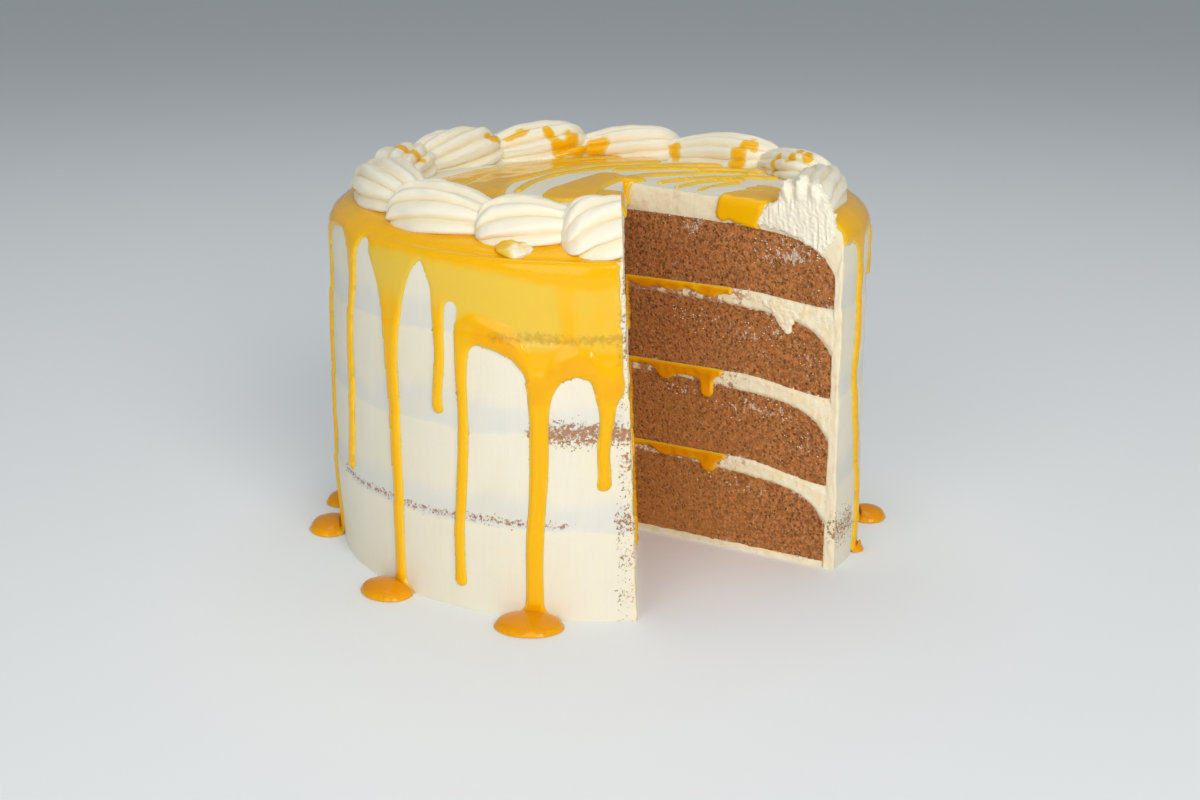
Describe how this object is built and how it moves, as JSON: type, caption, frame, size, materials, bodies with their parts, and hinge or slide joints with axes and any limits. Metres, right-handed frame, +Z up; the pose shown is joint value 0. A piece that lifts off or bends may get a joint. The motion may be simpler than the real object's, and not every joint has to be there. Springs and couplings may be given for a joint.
{
  "type": "layer cake",
  "caption": "Tall round semi-naked sponge cake with buttercream fillings, a dripping caramel sauce, a border of piped shells and one wedge cut out.",
  "frame": {"origin": "centre of the round foot, on the surface that the cake rests on", "axes": "+Z up along the cake's axis, -Y towards the side that the picture shows, with the missing wedge between -Y and +X"},
  "size_m": [0.2296, 0.2309, 0.1493],
  "materials": {
    "sponge": "matte brown sponge crumb, open and dry",
    "buttercream": "satin pale cream, soft and slightly waxy",
    "caramel": "glossy golden yellow sauce, slightly see-through where thin"
  },
  "bodies": {
    "root": {"base_cream": "buttercream", "sponge_1": "sponge", "sponge_2": "sponge", "sponge_3": "sponge", "sponge_4": "sponge", "filling_cream_1": "buttercream", "filling_caramel_1": "caramel", "filling_cream_2": "buttercream", "filling_caramel_2": "caramel", "filling_cream_3": "buttercream", "filling_caramel_3": "caramel", "buttercream_coat": "buttercream", "shell_01": "buttercream", "shell_02": "buttercream", "shell_03": "buttercream", "shell_04": "buttercream", "shell_05": "buttercream", "shell_06": "buttercream", "shell_07": "buttercream", "shell_08": "buttercream", "shell_09": "buttercream", "shell_10": "buttercream", "shell_11": "buttercream"}
  },
  "joints": []
}
